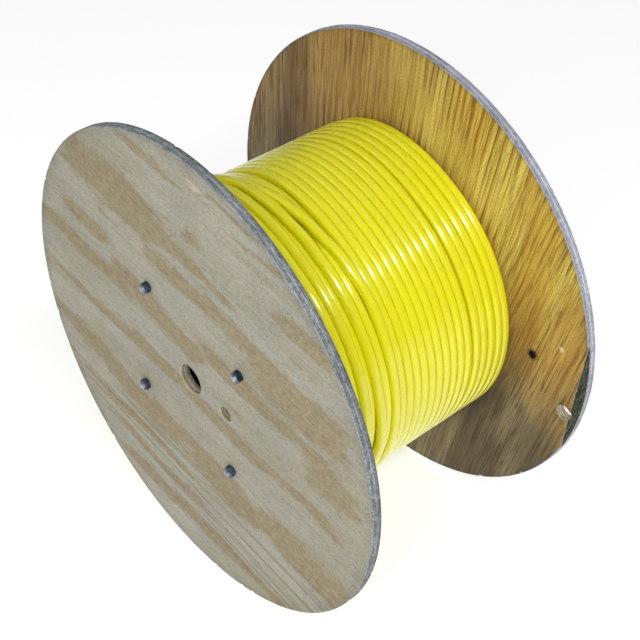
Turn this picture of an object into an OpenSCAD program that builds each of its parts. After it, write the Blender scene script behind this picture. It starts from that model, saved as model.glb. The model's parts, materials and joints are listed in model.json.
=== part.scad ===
// Plywood cable reel: two round flanges and a fibre drum, clamped by four tie
// rods, and wound with four layers of round cable. The axle runs along Y, the
// near flange is at -Y, and the reel stands on its two rims at Z = 0.

/* [Flanges] */
// Diameter of each plywood flange
flange_d = 610; // [500:1:760]
// Thickness of the plywood
flange_t = 12.5; // [10:0.1:18]
// Distance between the inner faces of the flanges
traverse = 315; // [200:1:400]
// Diameter of the arbor hole through both flanges
arbor_d = 38.1; // [25:0.1:57]
// Diameter of the drive-pin hole beside the arbor
drive_hole_d = 19; // [12:0.1:25]
// Distance from the axle to the drive-pin hole
drive_hole_r = 64; // [50:1:80]
// Angle of the drive-pin hole about the axle, from level
pattern_angle = -8; // [-45:1:45]

/* [Cable-end hole and lost veneer] */
// Diameter of the cable-end hole near the far rim
end_hole_d = 20; // [8:0.5:24]
// Distance from the axle to the cable-end hole
end_hole_r = 286; // [240:1:288]
// Angle of the cable-end hole about the axle
end_hole_angle = -11.5; // [-45:0.5:45]
// Distance from the axle to the straight edge of the lost veneer
veneer_edge_r = 292.5; // [280:0.5:302]
// Angle of the middle of the lost veneer
veneer_angle = -5.5; // [-45:0.5:45]
// Thickness of the face veneer
veneer_t = 2; // [1:0.1:3]

/* [Drum] */
// Outside diameter of the drum
drum_d = 304.8; // [280:0.1:330]
// Wall of the drum
drum_wall = 6.4; // [4:0.1:10]
// Depth of the groove that locates the drum in each flange
groove_depth = 4; // [2:0.5:6]
// Length of the notch that lets the cable into the drum
notch_len = 72; // [70:1:90]
// Reach of the notch from the near flange
notch_reach = 15; // [13:0.5:25]

/* [Tie rods] */
// Number of tie rods
rod_count = 4; // [3:1:6]
// Bolt circle of the tie rods
bolt_circle_d = 233; // [200:1:250]
// Diameter of a tie rod
rod_d = 8; // [6:0.5:10]
// Diameter of a tie-rod hole
rod_hole_d = 9; // [8.5:0.1:11]
// Width of a nut across its flats
nut_af = 13; // [11:0.5:17]
// Height of a nut
nut_h = 6.5; // [5:0.1:9]
// Length of rod that stands out of its nut
rod_stub = 3; // [1:0.5:8]

/* [Cable] */
// Diameter of the cable
cable_d = 11.5; // [9:0.1:12]
// Number of layers of cable
layers = 4; // [2:1:4]
// Turns in the outermost layer
outer_turns = 26; // [20:1:27]
// Height that each layer adds to the one below
layer_step = 10.4; // [9.5:0.1:11]

/* [Hidden] */
$fn = 96;

plywood = "#b3a48d";
pine = "#b98a4a";
fibre = "#8c6f4e";
zinc = "#8a93a0";
jacket = "#ece326";

axle_h = flange_d / 2;
bolt_angle = pattern_angle + 45;
gap = 0.1;                  // between parts whose round faces nearly touch
through = 1;                // how far a cutter runs past the face that it cuts
groove_slack = 0.3;         // groove past each side of the drum's wall
rod_chamfer = 1;
nut_chamfer_angle = 30;
rod_len = traverse + 2 * (flange_t + nut_h + rod_stub);
turn_pitch = (traverse - cable_d - 2 * gap) / (outer_turns - 1);
function layer_r(k) = drum_d / 2 + cable_d / 2 + (k - 1) * layer_step;

// The two free lengths of the cable, from the winding outwards, with Z counted
// from the axle. The start goes through the notch into the drum, and the end
// lies along the near flange's inner face.
cable_y = -151.5;
start_route = [
    [-109, cable_y, 113], [-119, cable_y, 101], [-126, cable_y, 87], [-128, cable_y, 72],
    [-126, -151, 56], [-120, -150, 32], [-114, -149, 8], [-108, -148, -17]
];
end_route = [
    [-156, cable_y, -109], [-172, cable_y, -84], [-187, cable_y, -57], [-200, cable_y, -30],
    [-212, cable_y, -2], [-223, cable_y, 27], [-232, cable_y, 57]
];

staple_wire_d = 2;
staple_bite = 9;            // depth of a leg in the plywood
staple_at = [end_route[4], end_route[5]];
tube_sides = 10;

// ---- placing -----------------------------------------------------------

// Stands a part that was made about Z on the axle, with +Z towards the near side.
module on_axle() {
    translate([0, 0, axle_h]) rotate([90, 0, 0]) children();
}

// Puts a part at place i of the bolt circle.
module at_bolt(i) {
    rotate(bolt_angle + (i - 1) * 360 / rod_count) translate([bolt_circle_d / 2, 0, 0]) children();
}

// ---- flanges -----------------------------------------------------------

// A flange with its inner face at z = 0 and its outer face at z = flange_t.
module flange_blank() {
    difference() {
        cylinder(d = flange_d, h = flange_t);
        translate([0, 0, -through]) {
            cylinder(d = arbor_d, h = flange_t + 2 * through);
            rotate(pattern_angle) translate([drive_hole_r, 0, 0])
                cylinder(d = drive_hole_d, h = flange_t + 2 * through);
            for (i = [1:rod_count])
                at_bolt(i) cylinder(d = rod_hole_d, h = flange_t + 2 * through);
        }
        drum_groove();
    }
}

module drum_groove() {
    translate([0, 0, -through]) difference() {
        cylinder(d = drum_d + 2 * groove_slack, h = groove_depth + through);
        translate([0, 0, -through])
            cylinder(d = drum_d - 2 * drum_wall - 2 * groove_slack, h = groove_depth + 3 * through);
    }
}

module near_flange() {
    color(plywood) on_axle() translate([0, 0, traverse / 2]) flange_blank();
}

module far_flange() {
    color(pine) on_axle() translate([0, 0, -traverse / 2]) mirror([0, 0, 1]) difference() {
        flange_blank();
        rotate(end_hole_angle) translate([end_hole_r, 0, -through])
            cylinder(d = end_hole_d, h = flange_t + 2 * through);
        rotate(veneer_angle) translate([veneer_edge_r, -flange_d / 2, -through])
            cube([flange_d, flange_d, veneer_t + through]);
    }
}

// ---- drum --------------------------------------------------------------

module drum() {
    half = traverse / 2 + groove_depth;
    notch_angle = atan2(start_route[2][2], start_route[2][0]);
    color(fibre) on_axle() difference() {
        translate([0, 0, -half]) cylinder(d = drum_d, h = 2 * half);
        translate([0, 0, -half - through])
            cylinder(d = drum_d - 2 * drum_wall, h = 2 * half + 2 * through);
        rotate(notch_angle) translate([0, -notch_len / 2, traverse / 2 - notch_reach])
            cube([drum_d, notch_len, notch_reach + groove_depth + through]);
    }
}

// ---- tie rods and nuts -------------------------------------------------

module tie_rod(i) {
    half = rod_len / 2;
    r = rod_d / 2;
    color(zinc) on_axle() at_bolt(i) rotate_extrude() polygon([
        [0, -half], [r - rod_chamfer, -half], [r, -half + rod_chamfer],
        [r, half - rod_chamfer], [r - rod_chamfer, half], [0, half]
    ]);
}

// A hexagonal nut with its bearing face at z = 0 and both rims of its flats rounded off.
module nut() {
    corner_r = nut_af / 2 / cos(30);
    bevel = (corner_r - nut_af / 2) * tan(nut_chamfer_angle);
    difference() {
        intersection() {
            cylinder(r = corner_r, h = nut_h, $fn = 6);
            rotate_extrude() polygon([
                [0, 0], [nut_af / 2, 0], [corner_r, bevel],
                [corner_r, nut_h - bevel], [nut_af / 2, nut_h], [0, nut_h]
            ]);
        }
        translate([0, 0, -through]) cylinder(d = rod_d, h = nut_h + 2 * through);
    }
}

module near_nut(i) {
    color(zinc) on_axle() at_bolt(i) translate([0, 0, traverse / 2 + flange_t])
        rotate(17 * i) nut();
}

module far_nut(i) {
    color(zinc) on_axle() at_bolt(i) translate([0, 0, -traverse / 2 - flange_t])
        mirror([0, 0, 1]) rotate(31 * i) nut();
}

// ---- cable -------------------------------------------------------------

// One layer of turns as a sleeve. The outermost shows the round back of each turn.
module winding_layer(k) {
    inner = (k == 1 ? drum_d / 2 : layer_r(k) - layer_step / 2) + gap;
    outer = k == layers ? layer_r(k) : layer_r(k) + layer_step / 2;
    width = traverse - 2 * gap;
    color(jacket) on_axle() {
        translate([0, 0, -width / 2]) difference() {
            cylinder(r = outer, h = width);
            translate([0, 0, -through]) cylinder(r = inner, h = width + 2 * through);
        }
        if (k == layers)
            for (t = [0:outer_turns - 1])
                translate([0, 0, (t - (outer_turns - 1) / 2) * turn_pitch])
                    rotate_extrude() translate([outer, 0]) circle(d = cable_d);
    }
}

// A round tube of cable swept along points in the row's frame.
function along(p, i) =
    let (v = p[min(i + 1, len(p) - 1)] - p[max(i - 1, 0)]) v / norm(v);
function ring(p, i, r) =
    let (
        t = along(p, i),
        u = [0, 1, 0] - t * t[1],
        n = u / norm(u),
        b = cross(t, n)
    )
    [for (s = [0:tube_sides - 1])
        p[i] + r * (cos(s * 360 / tube_sides) * n + sin(s * 360 / tube_sides) * b)];

module tube(p, r) {
    rings = [for (i = [0:len(p) - 1]) each ring(p, i, r)];
    last = (len(p) - 1) * tube_sides;
    polyhedron(rings, concat(
        [[for (s = [0:tube_sides - 1]) s]],
        [[for (s = [tube_sides - 1:-1:0]) last + s]],
        [for (i = [0:len(p) - 2], s = [0:tube_sides - 1])
            let (a = i * tube_sides, s2 = (s + 1) % tube_sides)
            [a + s, a + tube_sides + s, a + tube_sides + s2, a + s2]]
    ));
}

module cable_start() {
    color(jacket) translate([0, 0, axle_h]) tube(start_route, cable_d / 2);
}

module cable_end() {
    color(jacket) translate([0, 0, axle_h]) tube(end_route, cable_d / 2);
}

// A wire staple over the cable's end, with both legs in the near flange.
module end_staple() {
    run = staple_at[1] - staple_at[0];
    mid = (staple_at[0] + staple_at[1]) / 2;
    crown_r = (cable_d + staple_wire_d) / 2 + gap;
    leg = traverse / 2 - abs(cable_y) + staple_bite;
    color(zinc) translate([0, 0, axle_h]) translate(mid) rotate([0, -atan2(run[2], run[0]), 0]) {
        rotate([0, 90, 0]) rotate([0, 0, 180]) rotate_extrude(angle = 180, $fn = 64)
            translate([crown_r, 0]) circle(d = staple_wire_d, $fn = 24);
        for (side = [-1, 1])
            translate([0, 0, side * crown_r]) rotate([90, 0, 0])
                cylinder(d = staple_wire_d, h = leg, $fn = 24);
    }
}

// ---- what is drawn -----------------------------------------------------

near_flange();
far_flange();
drum();
for (i = [1:rod_count]) {
    tie_rod(i);
    near_nut(i);
    far_nut(i);
}
for (k = [1:layers])
    winding_layer(k);
cable_start();
cable_end();
end_staple();
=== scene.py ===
"""The looks of a plywood cable reel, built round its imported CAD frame.

Lengths are metres unless a name says mm. The axle runs along Y at AXLE_Z. A place on a
flange is given as (x, z) from the axle, and an angle about the axle is counted from +X
towards +Z.
"""
import json
import math
from collections import namedtuple

import bmesh
import bpy
import numpy as np
from mathutils import Matrix, Vector, geometry, kdtree, noise


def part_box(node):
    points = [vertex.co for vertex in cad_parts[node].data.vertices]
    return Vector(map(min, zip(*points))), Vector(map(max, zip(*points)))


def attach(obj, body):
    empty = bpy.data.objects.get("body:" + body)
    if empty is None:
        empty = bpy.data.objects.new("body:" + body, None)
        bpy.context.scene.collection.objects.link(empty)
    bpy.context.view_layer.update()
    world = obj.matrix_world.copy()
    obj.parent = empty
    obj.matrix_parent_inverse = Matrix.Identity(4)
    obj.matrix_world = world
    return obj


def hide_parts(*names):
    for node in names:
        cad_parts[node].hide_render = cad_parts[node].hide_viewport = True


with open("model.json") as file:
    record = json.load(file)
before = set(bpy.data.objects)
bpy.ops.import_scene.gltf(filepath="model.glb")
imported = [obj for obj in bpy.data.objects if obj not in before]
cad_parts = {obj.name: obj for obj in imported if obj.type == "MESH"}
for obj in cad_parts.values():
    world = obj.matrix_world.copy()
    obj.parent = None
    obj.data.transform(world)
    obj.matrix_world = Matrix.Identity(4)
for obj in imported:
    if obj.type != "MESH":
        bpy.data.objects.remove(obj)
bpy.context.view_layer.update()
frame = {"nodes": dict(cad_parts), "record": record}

MM = 0.001

# ---- sizes from the frame -----------------------------------------------------------

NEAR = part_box("near_flange")
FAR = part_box("far_flange")
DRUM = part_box("drum")
FLANGE_R = (NEAR[1].z - NEAR[0].z) / 2
AXLE_Z = NEAR[0].z + FLANGE_R
HALF_GAP = FAR[0].y
DRUM_R = (DRUM[1].z - DRUM[0].z) / 2
MOUNTS = {m["name"]: m for m in frame["record"]["mounts"]}
RODS = sorted(n for n in frame["nodes"] if n.startswith("tie_rod_"))

DRUM_WALL = 6.4 * MM
GROOVE_SLACK = 0.3 * MM
ROD_HOLE_R = 4.5 * MM
CABLE_D = 11.5 * MM
LAYER_STEP = 10.4 * MM


def middle(node):
    low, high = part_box(node)
    return (low + high) / 2


def on_plane(point):
    """A point of the row frame as (x, z) from the axle."""
    return point[0], point[2] - AXLE_Z


def smooth(t):
    """0 up to t = 0, 1 from t = 1, and a smooth rise between."""
    t = min(max(t, 0.0), 1.0)
    return t * t * (3 - 2 * t)


def between(knots, x):
    """A smooth curve through (x, value) knots."""
    if x <= knots[0][0]:
        return knots[0][1]
    for (x0, v0), (x1, v1) in zip(knots, knots[1:]):
        if x <= x1:
            return v0 + (v1 - v0) * smooth((x - x0) / (x1 - x0))
    return knots[-1][1]


# ---- camera -------------------------------------------------------------------------

CAMERA_AZIMUTH = 48.88
CAMERA_ELEVATION = 40.20
CAMERA_DISTANCE = 1.6531
CAMERA_ACROSS = 0.0191
CAMERA_DOWN = 0.0047
LENS_MM = 77.58


def add_object(name, data):
    obj = bpy.data.objects.new(name, data)
    bpy.context.scene.collection.objects.link(obj)
    return obj


def towards(azimuth, elevation):
    """The direction from the reel towards an azimuth and elevation in degrees."""
    a, e = math.radians(azimuth), math.radians(elevation)
    return Vector((math.sin(a) * math.cos(e), -math.cos(a) * math.cos(e), math.sin(e)))


def make_camera():
    data = bpy.data.cameras.new("camera")
    data.lens = LENS_MM
    data.sensor_width = 36
    camera = add_object("camera", data)
    back = towards(CAMERA_AZIMUTH, CAMERA_ELEVATION)
    right = Vector((0, 0, 1)).cross(back).normalized()
    up = back.cross(right)
    aim = Vector((0, 0, AXLE_Z)) + right * CAMERA_ACROSS - up * CAMERA_DOWN
    camera.location = aim + back * CAMERA_DISTANCE
    camera.rotation_mode = "QUATERNION"
    camera.rotation_quaternion = (-back).to_track_quat("-Z", "Y")
    bpy.context.scene.camera = camera


make_camera()

# ---- materials ----------------------------------------------------------------------

PINE_LEAN = -0.052              # how far the pine's rings lean from its grain
PINE_TURN = -0.4                # how that lean changes per metre across the grain
RING_WIDTH = 9 * MM


def rgb(red, green, blue):
    """A colour given in 0 to 255, as the shaders take it."""
    return tuple(((c / 255 + 0.055) / 1.055) ** 2.4 for c in (red, green, blue)) + (1.0,)


class Graph:
    """A material's nodes. Each call adds one node and returns its output."""

    def __init__(self, name):
        self.material = bpy.data.materials.new(name)
        self.material.use_nodes = True
        self.nodes = self.material.node_tree.nodes
        self.links = self.material.node_tree.links
        self.shader = self.nodes["Principled BSDF"]
        self.place = self.nodes.new("ShaderNodeTexCoord").outputs["Object"]

    def wire(self, value, socket):
        if isinstance(value, bpy.types.NodeSocket):
            self.links.new(value, socket)
        else:
            socket.default_value = value

    def node(self, kind, inputs, **settings):
        made = self.nodes.new("ShaderNode" + kind)
        for name, value in settings.items():
            setattr(made, name, value)
        for key, value in inputs.items():
            self.wire(value, made.inputs[key])
        return made

    def scaled(self, vector, scale):
        return self.node("VectorMath", {0: vector, 1: scale}, operation="MULTIPLY").outputs[0]

    def stretched(self, angle, *scale):
        """Coordinates turned so that X lies at angle in the flange's plane, then scaled along
        the grain, through the ply and across the grain."""
        inputs = {"Vector": self.place, "Axis": (0, 1, 0), "Angle": angle}
        turned = self.node("VectorRotate", inputs, rotation_type="AXIS_ANGLE").outputs[0]
        return self.scaled(turned, scale)

    def noise(self, vector, scale=1.0, detail=3.0, roughness=0.55, distortion=0.0):
        inputs = {
            "Vector": vector,
            "Scale": scale,
            "Detail": detail,
            "Roughness": roughness,
            "Distortion": distortion,
        }
        return self.node("TexNoise", inputs).outputs["Fac"]

    def grain(self, angle, *scale, **kind):
        """Noise drawn out along a flange's grain."""
        return self.noise(self.stretched(angle, *scale), **kind)

    def cells(self, vector, scale):
        return self.node("TexVoronoi", {"Vector": vector, "Scale": scale}).outputs["Distance"]

    def attribute(self, name, output="Fac"):
        return self.node("Attribute", {}, attribute_name=name).outputs[output]

    def math(self, operation, *values, clamp=False):
        inputs = dict(enumerate(values))
        return self.node("Math", inputs, operation=operation, use_clamp=clamp).outputs[0]

    def step(self, value, low, high, start=0.0, end=1.0):
        """value from low to high as a smooth step from start to end."""
        inputs = {"Value": value, 1: low, 2: high, 3: start, 4: end}
        return self.node("MapRange", inputs, interpolation_type="SMOOTHSTEP").outputs[0]

    def mix(self, share, first, second, blend="MIX"):
        inputs = {0: share, 6: first, 7: second}
        return self.node("Mix", inputs, data_type="RGBA", blend_type=blend).outputs[2]

    def multiply(self, share, first, second):
        return self.mix(share, first, second, "MULTIPLY")

    def split(self, vector):
        return self.node("SeparateXYZ", {0: vector}).outputs

    def bump(self, height, depth_mm, strength=1.0):
        inputs = {"Height": height, "Distance": depth_mm * MM, "Strength": strength}
        return self.node("Bump", inputs).outputs[0]

    def finish(self, colour, rough, normal=None, **constants):
        self.wire(colour, self.shader.inputs["Base Color"])
        self.wire(rough, self.shader.inputs["Roughness"])
        if normal is not None:
            self.wire(normal, self.shader.inputs["Normal"])
        for name, value in constants.items():
            self.shader.inputs[name.replace("_", " ")].default_value = value
        return self.material


def weathered_ply(grain_angle):
    """Grey, weathered softwood veneer. The stain attribute holds the brown late wood, and
    the streak attribute how densely thin dark lines run there."""
    g = Graph("weathered_ply")
    fibre = g.grain(grain_angle, 14, 60, 420, detail=4, roughness=0.65)
    thread = g.grain(grain_angle, 4, 60, 190, detail=3, distortion=0.3)
    band = g.grain(grain_angle, 3.5, 10, 26, detail=4, distortion=0.6)
    speck = g.grain(grain_angle, 420, 420, 760, detail=3, roughness=0.65)
    mottle = g.grain(grain_angle, 150, 150, 230, detail=4, roughness=0.7)
    cloud = g.noise(g.place, 14, detail=4)
    edge = g.grain(grain_angle, 30, 40, 90, detail=6, roughness=0.7)

    pale = g.mix(g.step(cloud, 0.35, 0.65), rgb(189, 187, 172), rgb(179, 178, 165))
    wood = g.mix(g.step(band, 0.4, 0.66, 0, 0.5), pale, rgb(172, 165, 140))
    stain = g.math("ADD", g.attribute("stain"), g.math("MULTIPLY_ADD", edge, 1.0, -0.5))
    late = g.step(stain, 0.22, 0.62)
    tan = g.mix(g.step(mottle, 0.35, 0.65), rgb(173, 157, 122), rgb(160, 143, 108))
    wood = g.mix(g.math("MULTIPLY", late, 0.8), wood, tan)
    line = g.math("MULTIPLY", g.step(thread, 0.46, 0.64), g.attribute("streak"))
    wood = g.mix(g.math("MULTIPLY", line, 0.6, clamp=True), wood, rgb(140, 123, 90))
    wood = g.multiply(g.step(fibre, 0.35, 0.75, 0.0, 0.22), wood, rgb(176, 168, 150))
    wood = g.multiply(g.step(mottle, 0.4, 0.66, 0.0, 0.2), wood, rgb(178, 172, 160))
    wood = g.multiply(g.step(speck, 0.5, 0.66, 0.0, 0.5), wood, rgb(168, 164, 154))
    wood = g.multiply(g.attribute("grime_and_shade"), wood, rgb(118, 112, 104))

    height = g.math("ADD", fibre, g.math("MULTIPLY", thread, 1.2))
    height = g.math("ADD", height, g.math("MULTIPLY", late, 0.4))
    height = g.math("ADD", height, g.math("MULTIPLY", speck, 0.5))
    rough = g.step(fibre, 0.2, 0.8, 0.74, 0.93)
    return g.finish(wood, rough, g.bump(height, 0.35, 0.7), Specular_IOR_Level=0.3)


def honey_pine(grain_angle):
    """Resinous pine with growth rings that lean over towards +X. One attribute goes from
    grey wood at 0 to golden wood at 1, and is painted light and shade as well: shaded grey
    wood at 0, lit golden wood at 1. The streak attribute tells how checked it is, and stain
    marks bare pale wood."""
    g = Graph("honey_pine")
    along, depth, across = g.split(g.stretched(grain_angle, 1, 1, 1))
    lean = g.math("MULTIPLY_ADD", across, PINE_TURN, PINE_LEAN)
    flow = g.math("MULTIPLY_ADD", along, lean, across)
    lie = g.node("CombineXYZ", {0: along, 1: depth, 2: flow}).outputs[0]

    def streaks(scale, **kind):
        return g.noise(g.scaled(lie, scale), **kind)

    fibre = streaks((12, 60, 520), detail=4, roughness=0.65)
    check = streaks((26, 60, 460), detail=4, roughness=0.6)
    broad = streaks((3, 10, 20), detail=4, distortion=0.5)
    warp = streaks((1.8, 10, 9), detail=2, distortion=0.3)
    wobble = streaks((9, 10, 60), detail=3)
    speck = g.noise(g.place, 520, detail=3, roughness=0.7)
    # Painted light and shade, together with the wood's own grey or golden colour.
    tone_and_light = g.attribute("tone_and_light")

    count = g.math("MULTIPLY_ADD", flow, 1 / RING_WIDTH, g.math("MULTIPLY", warp, 7.0))
    count = g.math("MULTIPLY_ADD", wobble, 0.7, count)
    ring = g.math("FRACT", count)
    late_wood = g.math("MULTIPLY", g.step(ring, 0.45, 0.86), g.step(ring, 0.9, 1.0, 1, 0))

    # Grey for the shaded wood and gold for the lit wood: painted shade and painted light, as well as
    # the wood's own colour.
    dull = g.mix(g.step(broad, 0.38, 0.62), rgb(142, 130, 100), rgb(96, 81, 56))
    lit_golden_wood = g.mix(g.step(broad, 0.36, 0.64), rgb(246, 228, 120), rgb(233, 199, 92))
    tan = g.mix(g.step(broad, 0.36, 0.64), rgb(208, 171, 88), rgb(184, 144, 70))
    wood = g.mix(g.step(tone_and_light, 0.0, 0.55), dull, tan)
    wood = g.mix(g.step(tone_and_light, 0.5, 0.95), wood, lit_golden_wood)
    # The late wood is painted darker, and its rings fainter, where shaded, and more golden where lit.
    late = g.mix(tone_and_light, rgb(92, 64, 38), rgb(176, 118, 38))
    strength = g.step(g.noise(g.place, 11, detail=2), 0.38, 0.6, 0.1, 1.0)
    strength = g.math("MULTIPLY", strength, g.step(tone_and_light, 0.0, 0.9, 0.3, 0.9))
    wood = g.mix(g.math("MULTIPLY", late_wood, strength), wood, late)
    wood = g.multiply(g.step(fibre, 0.42, 0.66, 0, 0.7), wood, rgb(176, 150, 108))
    wood = g.multiply(g.step(speck, 0.46, 0.66, 0, 0.6), wood, rgb(176, 162, 136))
    crack = streaks((7, 60, 210), detail=3)
    split = g.math("MAXIMUM", g.step(check, 0.56, 0.66), g.step(crack, 0.62, 0.68))
    split = g.math("MULTIPLY", split, g.attribute("streak"))
    wood = g.mix(g.math("MULTIPLY", split, 0.85, clamp=True), wood, rgb(58, 42, 28))
    wood = g.mix(g.attribute("stain"), wood, rgb(232, 214, 176))
    # The last attribute darkens: painted shadow of the winding low down, dark wood round the knot, and
    # darker towards the rim.
    wood = g.multiply(g.attribute("grime_and_shade"), wood, rgb(78, 82, 70))

    height = g.math("ADD", fibre, g.math("MULTIPLY", late_wood, 0.5))
    height = g.math("SUBTRACT", height, g.math("MULTIPLY", split, 1.5))
    rough = g.step(fibre, 0.2, 0.8, 0.5, 0.72)
    return g.finish(wood, rough, g.bump(height, 0.3, 0.7), Specular_IOR_Level=0.4)


# Boundaries of the five plies, from the inner face, in mm.
PLY_LINES_MM = (2.0, 4.6, 7.9, 10.5)


def ply_edge(name, light, dark, grain_angle):
    """The edge of the plywood: five plies whose grain runs by turns along and across."""
    g = Graph(name)
    glue = rgb(70, 62, 54)
    y = g.split(g.place)[1]
    depth = g.math("MULTIPLY_ADD", g.math("ABSOLUTE", y), 1 / MM, -HALF_GAP / MM)
    wander = g.noise(g.place, 16, detail=2)
    depth = g.math("ADD", depth, g.math("MULTIPLY_ADD", wander, 0.9, -0.45))
    along = g.grain(grain_angle, 18, 900, 420, detail=4, roughness=0.65)
    across = g.grain(grain_angle, 420, 900, 18, detail=4, roughness=0.65)
    turn = None
    seam = None
    for line in PLY_LINES_MM:
        passed = g.step(depth, line - 0.12, line + 0.12)
        near = g.step(g.math("ABSOLUTE", g.math("SUBTRACT", depth, line)), 0.12, 0.34, 1, 0)
        turn = passed if turn is None else g.math("ABSOLUTE", g.math("SUBTRACT", turn, passed))
        seam = near if seam is None else g.math("MAXIMUM", seam, near)
    grain = g.node("Mix", {0: turn, 2: along, 3: across}).outputs[0]
    wood = g.mix(g.step(grain, 0.3, 0.7), dark, light)
    wood = g.multiply(g.math("MULTIPLY", turn, 0.45), wood, rgb(176, 168, 158))
    scuff = g.noise(g.place, 130, detail=5, roughness=0.75)
    wood = g.mix(g.step(scuff, 0.5, 0.64, 0, 0.8), wood, light)
    blot = g.noise(g.place, 22, detail=4)
    wood = g.multiply(g.step(blot, 0.5, 0.7, 0, 0.4), wood, rgb(160, 164, 164))
    wood = g.multiply(g.step(depth, 1.6, 3.4, 0.5, 0), wood, rgb(150, 156, 160))
    wood = g.mix(g.math("MULTIPLY", seam, g.step(grain, 0.3, 0.6, 0.9, 0.4)), wood, glue)
    height = g.math("SUBTRACT", grain, g.math("MULTIPLY", seam, 0.8))
    return g.finish(wood, 0.88, g.bump(height, 0.5, 0.9), Specular_IOR_Level=0.25)


def bared_ply(grain_angle):
    """The dark cross ply under lost veneer, with scraps of glue and fibre on it."""
    g = Graph("bared_ply")
    fibre = g.grain(grain_angle, 30, 200, 700, detail=5, roughness=0.7)
    scrap = g.cells(g.place, 260)
    wood = g.mix(g.step(fibre, 0.42, 0.6), rgb(36, 48, 50), rgb(96, 98, 82))
    wood = g.mix(g.step(scrap, 0.12, 0.3, 0.75, 0), wood, rgb(150, 146, 120))
    return g.finish(wood, 0.9, g.bump(fibre, 0.8), Specular_IOR_Level=0.2)


def splinter_wood(grain_angle):
    """Fresh pale wood where a splinter has come away."""
    g = Graph("splinter_wood")
    fibre = g.grain(grain_angle, 40, 200, 700, detail=4, roughness=0.65)
    dots = g.cells(g.place, 75)
    wood = g.mix(g.step(fibre, 0.35, 0.65), rgb(214, 206, 184), rgb(176, 164, 138))
    wood = g.mix(g.step(dots, 0.14, 0.24, 0.9, 0), wood, rgb(80, 64, 48))
    return g.finish(wood, 0.9, g.bump(fibre, 0.6), Specular_IOR_Level=0.2)


def knot_wood():
    """The dark resin and bark in a small knot hole."""
    g = Graph("knot_wood")
    bark = g.noise(g.place, 700, detail=4)
    wood = g.mix(g.step(bark, 0.4, 0.65), rgb(22, 14, 12), rgb(58, 38, 26))
    return g.finish(wood, 0.7, g.bump(bark, 0.6))


def cable_jacket():
    """Glossy yellow PVC. The jacket attribute runs round and along the cable."""
    g = Graph("cable_jacket")
    lie = g.attribute("jacket", "Vector")
    drawn = g.noise(g.scaled(lie, (9, 9, 1.5)))
    dust = g.noise(g.place, 30, detail=5, roughness=0.65)
    patch = g.noise(g.scaled(lie, (1, 1, 9)))
    orange_peel = g.noise(g.place, 700, detail=1)
    colour = g.mix(g.step(patch, 0.3, 0.7), rgb(243, 239, 26), rgb(238, 232, 20))
    colour = g.mix(g.step(dust, 0.5, 0.8, 0, 0.2), colour, rgb(190, 184, 50))
    rough = g.math("ADD", g.step(dust, 0.3, 0.75, 0.2, 0.3), g.step(drawn, 0.4, 0.8, 0, 0.05))
    height = g.math("MULTIPLY_ADD", drawn, 0.6, g.math("MULTIPLY", orange_peel, 0.35))
    normal = g.bump(height, 0.08, 0.5)
    g.shader.inputs["Subsurface Radius"].default_value = (4 * MM, 3.6 * MM, 0.8 * MM)
    g.shader.inputs["Subsurface Scale"].default_value = 1.0
    return g.finish(
        colour, rough, normal,
        IOR=1.5, Coat_Weight=0.9, Coat_Roughness=0.13, Subsurface_Weight=0.7,
        Specular_IOR_Level=0.4,
    )


def zinc_steel(name, dark, light):
    """Zinc on steel, clouded and with dark grit."""
    g = Graph(name)
    cloud = g.noise(g.place, 180, detail=4)
    grit = g.noise(g.place, 1500, detail=3)
    colour = g.mix(g.step(cloud, 0.35, 0.65), dark, light)
    colour = g.mix(g.step(grit, 0.6, 0.75, 0, 0.6), colour, rgb(70, 72, 80))
    rough = g.step(cloud, 0.3, 0.7, 0.28, 0.46)
    return g.finish(colour, rough, g.bump(grit, 0.05, 0.6), Metallic=1.0)


def drum_fibre():
    """Spiral-wound brown fibreboard: flat strips with a thin seam between them."""
    g = Graph("drum_fibre")
    x, y, z = g.split(g.place)
    turn = g.math("ARCTAN2", g.math("SUBTRACT", z, AXLE_Z), x)
    lie = g.math("MULTIPLY_ADD", y, 1 / 0.11, g.math("MULTIPLY", turn, 1 / (2 * math.pi)))
    seam = g.math("ABSOLUTE", g.math("SUBTRACT", g.math("FRACT", lie), 0.5))
    pulp = g.noise(g.place, 90, detail=5, roughness=0.65)
    colour = g.mix(g.step(pulp, 0.3, 0.7), rgb(150, 121, 86), rgb(120, 93, 62))
    colour = g.mix(g.step(seam, 0.0, 0.02, 0.8, 0), colour, rgb(66, 50, 34))
    height = g.math("ADD", g.math("MULTIPLY", pulp, 0.3), g.step(seam, 0.0, 0.03))
    return g.finish(colour, 0.86, g.bump(height, 0.4), Specular_IOR_Level=0.25)


def bright_copper():
    g = Graph("bright_copper")
    stain = g.noise(g.place, 700, detail=3)
    colour = g.mix(g.step(stain, 0.35, 0.7), rgb(214, 128, 84), rgb(160, 84, 52))
    return g.finish(colour, g.step(stain, 0.3, 0.7, 0.25, 0.45), Metallic=1.0)


def pale_floor():
    g = Graph("pale_floor")
    shade = g.noise(g.place, 3, detail=2)
    colour = g.mix(shade, rgb(210, 210, 210), rgb(214, 214, 214))
    g.shader.inputs["Emission Color"].default_value = (1.0, 1.0, 1.0, 1.0)
    return g.finish(colour, 0.85, Specular_IOR_Level=0.1, Emission_Strength=0.66)


NEAR_GRAIN = math.radians(-7)
FAR_GRAIN = math.radians(76)
JACKET = cable_jacket()
ZINC = zinc_steel("bright_zinc", rgb(132, 146, 166), rgb(186, 194, 206))
DULL_ZINC = zinc_steel("dull_zinc", rgb(62, 70, 90), rgb(96, 106, 126))

# ---- mesh helpers -------------------------------------------------------------------


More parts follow.
